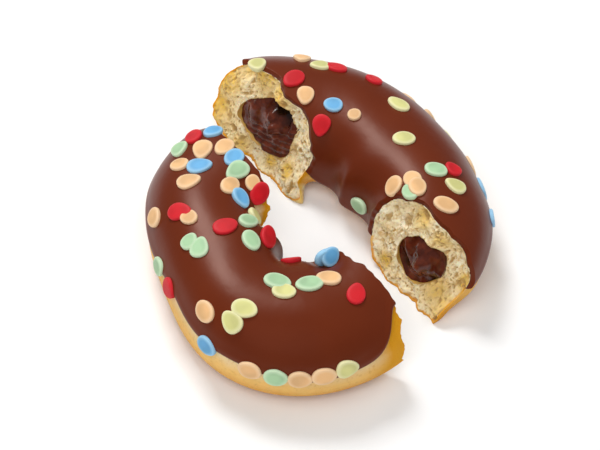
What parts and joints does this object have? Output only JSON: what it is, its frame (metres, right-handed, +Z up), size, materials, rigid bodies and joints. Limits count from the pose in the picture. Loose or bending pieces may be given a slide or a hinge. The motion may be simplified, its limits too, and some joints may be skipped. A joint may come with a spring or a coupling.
{
  "type": "filled doughnut",
  "caption": "Ring doughnut with dark icing, sugar sprinkles and a dark cream filling, torn across into two halves that lie a little apart.",
  "frame": {"origin": "Under the middle of the whole's bounding box, on the surface that the halves lie on", "axes": "+Z up; +X along the tear; +Y across the tear, from the front half to the back half that shows its torn ends"},
  "size_m": [0.1023, 0.1057, 0.0274],
  "materials": {
    "dough": "matt golden crust and pale open crumb",
    "icing": "smooth glossy cocoa icing",
    "filling": "glossy dark cocoa cream"
  },
  "bodies": {
    "root": {"dough_front": "dough", "icing_front": "icing", "filling_front": "filling", "dough_back": "dough", "icing_back": "icing", "filling_back": "filling"}
  },
  "joints": []
}
